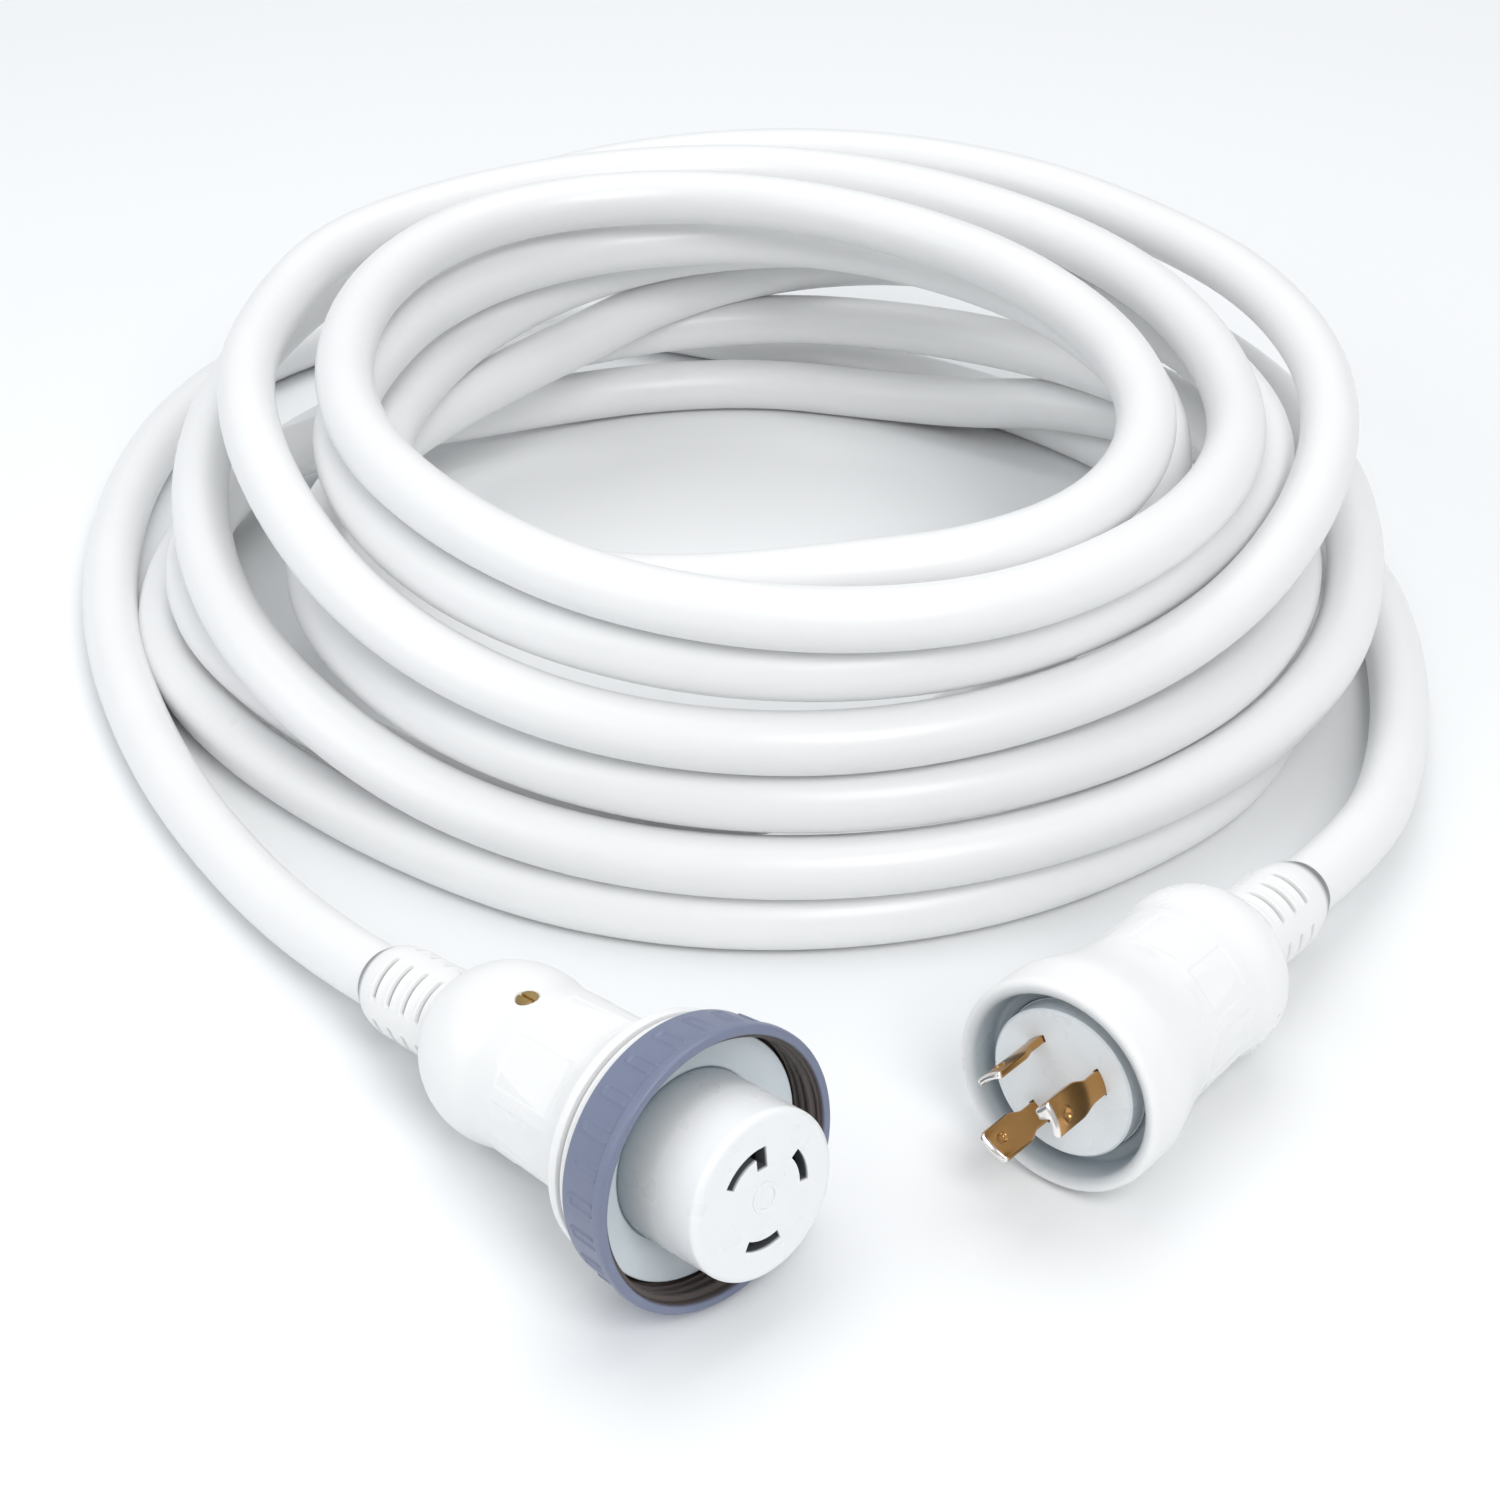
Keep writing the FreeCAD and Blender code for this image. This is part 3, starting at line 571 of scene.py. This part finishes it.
# ---------------------------------------------------------------- boots
SLOT_ROWS = 4
SLOT_PITCH = 6.2
SLOT_WIDTH = 1.5
SLOT_HALF_SPAN = 31.0
SLOT_END = 3.0
SLOT_DEPTH = 2.2
SLOT_RIM = 0.18
FIRST_SLOT_GAP = 3.5
BOOT_HOLE = 8.85
BOOT_NECK = 10.9
BOOT_HEAD = 13.4


def boot_skin(name, place, end, rear, taper, turn, replaced):
    """A slotted strain relief from end to the housing's rear, with a neck and a head inside it."""
    first = rear - FIRST_SLOT_GAP
    last = first - (SLOT_ROWS - 1) * SLOT_PITCH

    def relief(s, r, angle):
        if r < 11.0 or s > rear - 0.5:
            return r
        if not last - SLOT_PITCH / 2 < s < first + SLOT_PITCH / 2:
            return r
        row = abs(off_centre(first - s, 0.0, SLOT_PITCH))
        across = abs(off_centre(angle, turn, 90.0))
        end_round = max(0.0, across - SLOT_HALF_SPAN + SLOT_END) / SLOT_END
        half = SLOT_WIDTH / 2 * math.sqrt(max(0.0, 1 - end_round**2))
        depth = 1 - smooth(half - 0.16, half + 0.16, row) if half > 0.05 else 0.0
        rim = smooth(half + 0.1, half + 0.5, row) * (1 - smooth(half + 0.6, half + 1.6, row))
        return r - SLOT_DEPTH * depth + (SLOT_RIM * rim if across < SLOT_HALF_SPAN else 0)

    line = rounded([
        (end, BOOT_HOLE, 0), (end, 9.0, 0), (end + taper * 0.4, 10.7, 2.0), (end + taper, 12.1, 2.5),
        (rear - 2, 12.4, 0), (rear, 12.5, 0), (rear, BOOT_NECK, 0), (rear + 6.9, BOOT_NECK, 0),
        (rear + 6.9, BOOT_HEAD, 0.4), (rear + 9.9, BOOT_HEAD, 0.4), (rear + 9.9, BOOT_HOLE, 0),
    ], fine=((last - 2.0, first + 2.0, 0.16),))
    spun(name, line, place, boot_white, "cordset", replaced, relief, 360)


boot_skin("connector_boot_skin", CONNECTOR, -131.0, -98.0, 7.0, 38.0, "connector_boot")
boot_skin("plug_boot_skin", PLUG, -119.0, -82.0, 10.0, 70.0, "plug_boot")

# ---------------------------------------------------------------- cable
COIL_X, COIL_Y = -27.0, 235.0
CABLE_DIAMETER = 0.0175
SAG_IN = 0.9914  # the turning curve's radius over the radius that its control points lie on

# Middle of the cable, listed: from the connector's boot into the coil
connector_end = [
    (-122.38, 40.25, 15.97), (-148.02, 67.64, 9.96), (-184, 118, 8.9), (-208, 164, 8.9),
    (-226, 212, 8.9), (-236, 262, 8.9), (-238, 314, 8.9), (-230, 362, 8.9), (-207, 408, 8.9),
    (-162, 440, 8.9), (-105, 445, 8.9), (-50, 430, 8.9),
]
# ... and from the coil to the plug's boot
plug_end = [
    (142, 310, 24), (166, 272, 13), (175, 228, 8.9), (171, 184, 8.9), (161.5, 142, 12),
    (146.02, 103.07, 15.93), (122.1, 73.74, 19.37),
]
# Turns of the coil, clockwise seen from above: (azimuth in degrees, radius, height) of the cable's middle
TURNS = [
    [
        (70, 167, 9), (51, 162, 9), (25, 164, 9), (0, 166, 9), (-31, 171, 9), (-46, 166, 9),
        (-65, 163, 9), (-85, 160, 9), (-109, 158, 9), (-129, 157, 9), (-149, 165, 9),
    ],
    [
        (-167, 180, 9), (-180, 186, 9), (168, 189, 10), (150, 184, 14), (135, 173, 21), (111, 155, 30),
        (91, 159, 31), (70, 156, 34), (48, 151, 41), (28, 156, 46), (10, 163, 44), (-6, 167, 43),
        (-23, 168, 43), (-42, 164, 43), (-65, 158, 44), (-85, 154, 44), (-111, 147, 44), (-134, 142, 45),
        (-158, 138, 45),
    ],
    [
        (180, 131, 44), (158, 124, 43), (138, 122, 43), (118, 130, 43), (100, 150, 47), (75, 175, 50),
        (45, 185, 50), (20, 187, 47), (-5, 187, 41), (-23, 184, 32), (-43, 173, 28), (-66, 165, 27),
        (-85, 161, 27), (-109, 157, 27), (-129, 156, 30), (-149, 161, 40),
    ],
    [
        (-167, 166, 45), (173, 173, 55), (153, 180, 62), (135, 185, 68), (110, 192, 76), (87, 194, 80),
        (63, 191, 82), (43, 185, 82), (27, 182, 84), (11, 180, 82), (-4, 175, 80), (-18, 170, 76),
        (-38, 163, 67), (-64, 155, 62), (-85, 153, 62), (-110, 149, 64), (-132, 146, 70),
        (-158, 145.5, 80),
    ],
    [
        (-177, 152, 88), (161, 159, 88), (144, 166, 90), (129, 162, 90), (109, 158, 90), (86, 159, 88),
        (56, 153, 86), (28, 147, 86), (3, 145, 86), (-18, 147, 90), (-43, 150, 94), (-64, 151, 95),
        (-82, 148, 97), (-107, 138, 99), (-131, 127, 100), (-156, 122, 100),
    ],
    [
        (180, 121, 100), (158, 124, 100), (134, 126, 100), (108, 116, 100), (84, 105, 100),
        (60, 98, 100), (36, 98, 100), (15, 103, 100), (-5, 113, 100), (-25, 125, 99), (-45, 132, 98),
        (-60, 130, 97), (-80, 122, 95), (-107, 118, 87), (-131, 113, 80), (-156, 110, 74),
    ],
    [
        (180, 112, 66), (158, 118, 60), (129, 132, 61), (109, 142, 64), (90, 150, 65), (67, 151, 67),
        (45, 150, 68), (23, 156, 69), (2, 159, 69), (-16, 152, 71), (-32, 147, 74.5), (-63, 145, 77),
        (-85, 143, 79), (-112, 136, 81), (-140, 128, 82), (-160, 125, 83), (-177, 122, 83),
    ],
    [
        (165, 120, 82), (148, 124, 80), (125, 126, 80), (102, 123, 80), (80, 121, 80), (55, 118, 80),
        (30, 119, 80), (5, 124, 77), (-18, 126, 72), (-42, 126, 62), (-66, 131, 44), (-90, 134, 28),
        (-112, 137, 20), (-130, 140, 19), (-150, 153, 22),
    ],
    [
        (-170, 172, 27), (168, 176, 28), (148, 164, 24), (130, 153, 14), (110, 153, 9), (91, 152, 9),
        (69, 149, 9), (56, 147, 16), (43, 151, 27),
    ],
]


def coil_points(turns, step=15.0):
    """The coil's control points, every few degrees, eased between the stations."""
    stations = []
    for azimuth, radius, height in (s for turn in turns for s in turn):
        while stations and azimuth > stations[-1][0]:
            azimuth -= 360
        stations.append((azimuth, radius, height))
    sweep = [-s[0] for s in stations]

    def eased(k, j, t):
        def slope(i):
            before, after = max(i - 1, 0), min(i + 1, len(stations) - 1)
            return (stations[after][k] - stations[before][k]) / (sweep[after] - sweep[before])

        span = sweep[j + 1] - sweep[j]
        a, b = stations[j][k], stations[j + 1][k]
        return ((2 * t**3 - 3 * t**2 + 1) * a + (t**3 - 2 * t**2 + t) * span * slope(j)
                + (3 * t**2 - 2 * t**3) * b + (t**3 - t**2) * span * slope(j + 1))

    count = round((sweep[-1] - sweep[0]) / step)
    points = []
    j = 0
    for i in range(count + 1):
        at = sweep[0] + (sweep[-1] - sweep[0]) * i / count
        while j < len(stations) - 2 and sweep[j + 1] < at:
            j += 1
        t = (at - sweep[j]) / (sweep[j + 1] - sweep[j])
        radius, height = eased(1, j, t) / SAG_IN, eased(2, j, t)
        a = math.radians(-at)
        points.append((COIL_X + radius * math.cos(a), COIL_Y + radius * math.sin(a), height))
    return points


route = connector_end + coil_points(TURNS) + plug_end
curve = bpy.data.curves.new("shore_cable", "CURVE")
curve.dimensions = "3D"
spline = curve.splines.new("NURBS")
spline.points.add(len(route) - 1)
for point, (x, y, z) in zip(spline.points, route):
    point.co = (x * MM, y * MM, z * MM, 1)
spline.order_u = 3
spline.use_endpoint_u = True
spline.resolution_u = 6
curve.bevel_depth = CABLE_DIAMETER / 2
curve.bevel_resolution = 10
curve.use_fill_caps = True
curve.materials.append(jacket)
cable = bpy.data.objects.new("shore_cable", curve)
bpy.context.collection.objects.link(cable)
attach(cable, "cordset")
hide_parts("connector_tail", "cable_coil", "plug_tail")

# ---------------------------------------------------------------- stage
FLOOR_HALF = 6.0
FLOOR_COLOUR = (0.86, 0.87, 0.875, 1)
FLOOR_ROUGHNESS = 0.7

floor_material = Nodes("floor")
floor_material.shader.inputs["Base Color"].default_value = FLOOR_COLOUR
floor_material.shader.inputs["Roughness"].default_value = FLOOR_ROUGHNESS
floor_corners = [(x * FLOOR_HALF, y * FLOOR_HALF, 0) for x, y in ((-1, -1), (1, -1), (1, 1), (-1, 1))]
mesh_object("floor", floor_corners, [(0, 1, 2, 3)], floor_material.material)


def area_light(name, place, aim, size, power, colour):
    data = bpy.data.lights.new(name, "AREA")
    data.shape = "DISK"
    data.size = size
    data.energy = power
    data.color = colour
    light = bpy.data.objects.new(name, data)
    light.location = place
    light.rotation_euler = (Vector(aim) - Vector(place)).to_track_quat("-Z", "Y").to_euler()
    bpy.context.collection.objects.link(light)


area_light("key", (0.5, -1.1, 1.5), (0, 0.1, 0), 1.0, 16, (1.0, 0.995, 0.985))
area_light("fill", (-1.4, -0.4, 1.0), (0, 0.15, 0.02), 1.4, 7, (0.95, 0.97, 1.0))
area_light("top", (0.0, 0.7, 1.7), (0, 0.2, 0), 1.6, 12, (0.99, 0.995, 1.0))

world = bpy.data.worlds.new("studio")
world.use_nodes = True
background = world.node_tree.nodes["Background"]
background.inputs["Color"].default_value = (0.93, 0.95, 0.98, 1)
background.inputs["Strength"].default_value = 0.55
bpy.context.scene.world = world
bpy.context.scene.view_settings.view_transform = "Standard"
